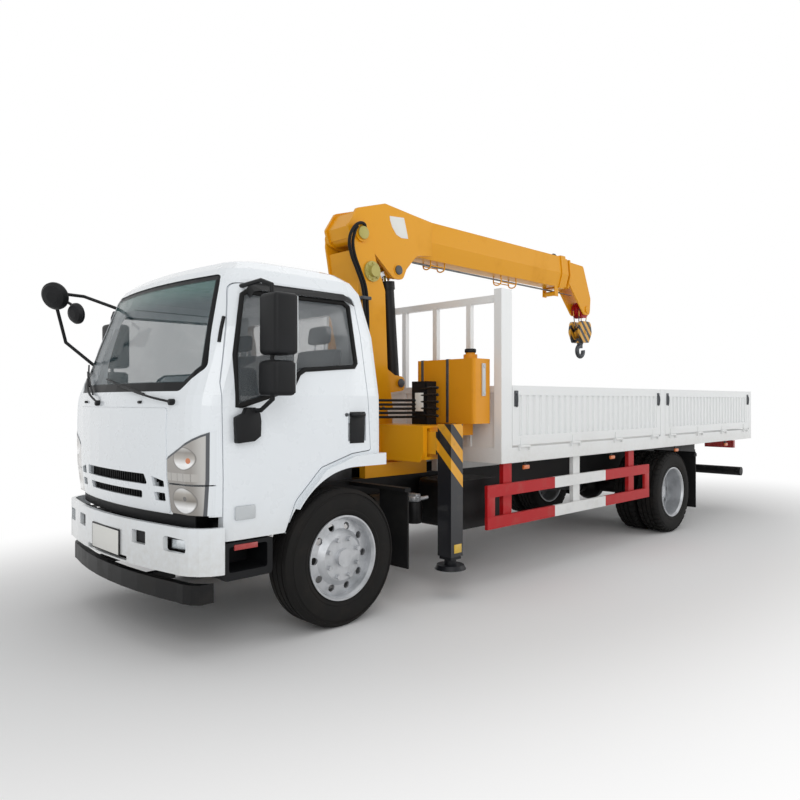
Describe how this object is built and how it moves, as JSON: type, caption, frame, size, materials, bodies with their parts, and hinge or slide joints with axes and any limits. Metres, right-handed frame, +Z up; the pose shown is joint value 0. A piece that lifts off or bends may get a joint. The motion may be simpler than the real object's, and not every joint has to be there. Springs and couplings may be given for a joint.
{
  "type": "truck-mounted mobile crane",
  "caption": "Cab-over flatbed truck with a drop-side bed and a telescopic loader crane with outriggers behind the cab",
  "frame": {"origin": "on the ground under the middle of the whole box", "axes": "+X towards the cab, +Y to the truck's left, +Z up"},
  "size_m": [9.017, 2.67, 3.4134],
  "materials": {
    "cab_white": "gloss",
    "bed_white": "satin",
    "crane_yellow": "gloss",
    "chassis_black": "satin",
    "tyre_rubber": "matte",
    "wheel_silver": "satin",
    "glass_clear": "gloss",
    "black_plastic": "matte",
    "lamp_clear": "gloss",
    "lamp_red": "gloss",
    "seat_fabric": "matte",
    "iron": "matte",
    "rod_chrome": "gloss",
    "rubber": "matte",
    "winch_olive": "satin",
    "sheave_red": "satin"
  },
  "bodies": {
    "chassis": {"frame": "chassis_black", "front_axle": "chassis_black", "rear_axle": "chassis_black", "powertrain": "iron", "chassis_tanks": "chassis_black", "bumper": "cab_white", "underrun_bars": "chassis_black", "side_guards": "bed_white", "mudflaps": "rubber", "tail_lamps": "lamp_red", "steps": "black_plastic", "bed_floor": "bed_white", "bed_frame": "bed_white", "crane_base": "crane_yellow", "oil_tank": "crane_yellow", "lever_valves": "black_plastic"},
    "cab": {"cab_shell": "cab_white", "cab_glass": "glass_clear", "front_panel": "cab_white", "grille": "black_plastic", "headlamps": "lamp_clear", "dashboard": "black_plastic", "seats": "seat_fabric", "front_mirrors": "black_plastic"},
    "left_door": {"door_left": "cab_white", "glass_left": "glass_clear", "mirror_left": "black_plastic"},
    "right_door": {"door_right": "cab_white", "glass_right": "glass_clear", "mirror_right": "black_plastic"},
    "left_knuckle": {"knuckle_left": "iron"},
    "right_knuckle": {"knuckle_right": "iron"},
    "front_left_wheel": {"tyre_front_left": "tyre_rubber", "rim_front_left": "wheel_silver"},
    "front_right_wheel": {"tyre_front_right": "tyre_rubber", "rim_front_right": "wheel_silver"},
    "rear_left_wheels": {"tyres_rear_left": "tyre_rubber", "rims_rear_left": "wheel_silver"},
    "rear_right_wheels": {"tyres_rear_right": "tyre_rubber", "rims_rear_right": "wheel_silver"},
    "front_left_side": {"side_front_left": "bed_white"},
    "rear_left_side": {"side_rear_left": "bed_white"},
    "front_right_side": {"side_front_right": "bed_white"},
    "rear_right_side": {"side_rear_right": "bed_white"},
    "tail_side": {"tailgate": "bed_white"},
    "crane_column": {"column": "crane_yellow", "winch": "winch_olive"},
    "boom": {"boom_base": "crane_yellow"},
    "boom_stage_two": {"boom_middle": "crane_yellow"},
    "boom_stage_three": {"boom_tip": "crane_yellow", "head_sheaves": "sheave_red"},
    "block": {"hook_block": "crane_yellow"},
    "swivel_hook": {"hook": "iron"},
    "cylinder_barrel": {"lift_barrel": "chassis_black"},
    "cylinder_rod": {"lift_rod": "rod_chrome"},
    "left_outrigger": {"beam_left": "crane_yellow"},
    "right_outrigger": {"beam_right": "crane_yellow"},
    "left_jack": {"jack_left": "chassis_black"},
    "right_jack": {"jack_right": "chassis_black"}
  },
  "joints": [
    {"name": "cab_tilt", "type": "hinge", "parent": "chassis", "child": "cab", "pos_m": [4.1685, 0, 0.85], "axis": [0, 1, 0], "range_deg": [0, 45]},
    {"name": "left_door_swing", "type": "hinge", "parent": "cab", "child": "left_door", "pos_m": [4.0465, 1.056, 1.5], "axis": [0, 0, -1], "range_deg": [0, 70]},
    {"name": "right_door_swing", "type": "hinge", "parent": "cab", "child": "right_door", "pos_m": [4.0465, -1.056, 1.5], "axis": [0, 0, 1], "range_deg": [0, 70]},
    {"name": "left_steer", "type": "hinge", "parent": "chassis", "child": "left_knuckle", "pos_m": [3.1085, 0.85, 0.485], "axis": [0, 0, 1], "range_deg": [-35, 35]},
    {"name": "right_steer", "type": "hinge", "parent": "chassis", "child": "right_knuckle", "pos_m": [3.1085, -0.85, 0.485], "axis": [0, 0, 1], "range_deg": [-35, 35]},
    {"name": "front_left_spin", "type": "hinge", "parent": "left_knuckle", "child": "front_left_wheel", "pos_m": [3.1085, 0.958, 0.485], "axis": [0, 1, 0], "continuous": true},
    {"name": "front_right_spin", "type": "hinge", "parent": "right_knuckle", "child": "front_right_wheel", "pos_m": [3.1085, -0.958, 0.485], "axis": [0, 1, 0], "continuous": true},
    {"name": "rear_left_spin", "type": "hinge", "parent": "chassis", "child": "rear_left_wheels", "pos_m": [-2.0315, 0.873, 0.485], "axis": [0, 1, 0], "continuous": true},
    {"name": "rear_right_spin", "type": "hinge", "parent": "chassis", "child": "rear_right_wheels", "pos_m": [-2.0315, -0.873, 0.485], "axis": [0, 1, 0], "continuous": true},
    {"name": "front_left_drop", "type": "hinge", "parent": "chassis", "child": "front_left_side", "pos_m": [-0.1215, 1.214, 1.188], "axis": [-1, 0, 0], "range_deg": [0, 178]},
    {"name": "rear_left_drop", "type": "hinge", "parent": "chassis", "child": "rear_left_side", "pos_m": [-3.0315, 1.214, 1.188], "axis": [-1, 0, 0], "range_deg": [0, 178]},
    {"name": "front_right_drop", "type": "hinge", "parent": "chassis", "child": "front_right_side", "pos_m": [-0.1215, -1.214, 1.188], "axis": [1, 0, 0], "range_deg": [0, 178]},
    {"name": "rear_right_drop", "type": "hinge", "parent": "chassis", "child": "rear_right_side", "pos_m": [-3.0315, -1.214, 1.188], "axis": [1, 0, 0], "range_deg": [0, 178]},
    {"name": "tailgate_drop", "type": "hinge", "parent": "chassis", "child": "tail_side", "pos_m": [-4.4955, 0, 1.188], "axis": [0, -1, 0], "range_deg": [0, 178]},
    {"name": "slew", "type": "hinge", "parent": "chassis", "child": "crane_column", "pos_m": [2.0585, 0, 1.5], "axis": [0, 0, 1], "continuous": true},
    {"name": "luff", "type": "hinge", "parent": "crane_column", "child": "boom", "pos_m": [2.1785, 0, 3.08], "axis": [0, 1, 0], "range_deg": [0, 75]},
    {"name": "lift_barrel_tilt", "type": "hinge", "parent": "crane_column", "child": "cylinder_barrel", "pos_m": [1.5985, 0, 1.76], "axis": [0, 1, 0], "range_deg": [0, 2.02]},
    {"name": "lift_rod_stroke", "type": "slide", "parent": "cylinder_barrel", "child": "cylinder_rod", "axis": [0.0846, 0, 0.9964], "range_m": [0, 0.676]},
    {"name": "boom_extend_two", "type": "slide", "parent": "boom", "child": "boom_stage_two", "axis": [-1, 0, 0], "range_m": [0, 2.3]},
    {"name": "boom_extend_three", "type": "slide", "parent": "boom_stage_two", "child": "boom_stage_three", "axis": [-1, 0, 0], "range_m": [0, 2.3]},
    {"name": "block_swing", "type": "hinge", "parent": "boom_stage_three", "child": "block", "pos_m": [-1.8015, 0, 2.775], "axis": [0, -1, 0], "range_deg": [-20, 75]},
    {"name": "hook_swivel", "type": "hinge", "parent": "block", "child": "swivel_hook", "pos_m": [-1.8015, 0, 2.35], "axis": [0, 0, 1], "continuous": true},
    {"name": "left_beam_slide", "type": "slide", "parent": "chassis", "child": "left_outrigger", "axis": [0, 1, 0], "range_m": [0, 0.6]},
    {"name": "right_beam_slide", "type": "slide", "parent": "chassis", "child": "right_outrigger", "axis": [0, -1, 0], "range_m": [0, 0.6]},
    {"name": "left_jack_stroke", "type": "slide", "parent": "left_outrigger", "child": "left_jack", "axis": [0, 0, -1], "range_m": [0, 0.35]},
    {"name": "right_jack_stroke", "type": "slide", "parent": "right_outrigger", "child": "right_jack", "axis": [0, 0, -1], "range_m": [0, 0.35]}
  ],
  "couplings": [
    {"joint": "right_steer", "follows": "left_steer", "ratio": 1},
    {"joint": "lift_barrel_tilt", "follows": "luff", "ratio": 0.02431},
    {"joint": "lift_rod_stroke", "follows": "luff", "m_per_rad": 0.51488},
    {"joint": "boom_extend_three", "follows": "boom_extend_two", "ratio": 1}
  ]
}
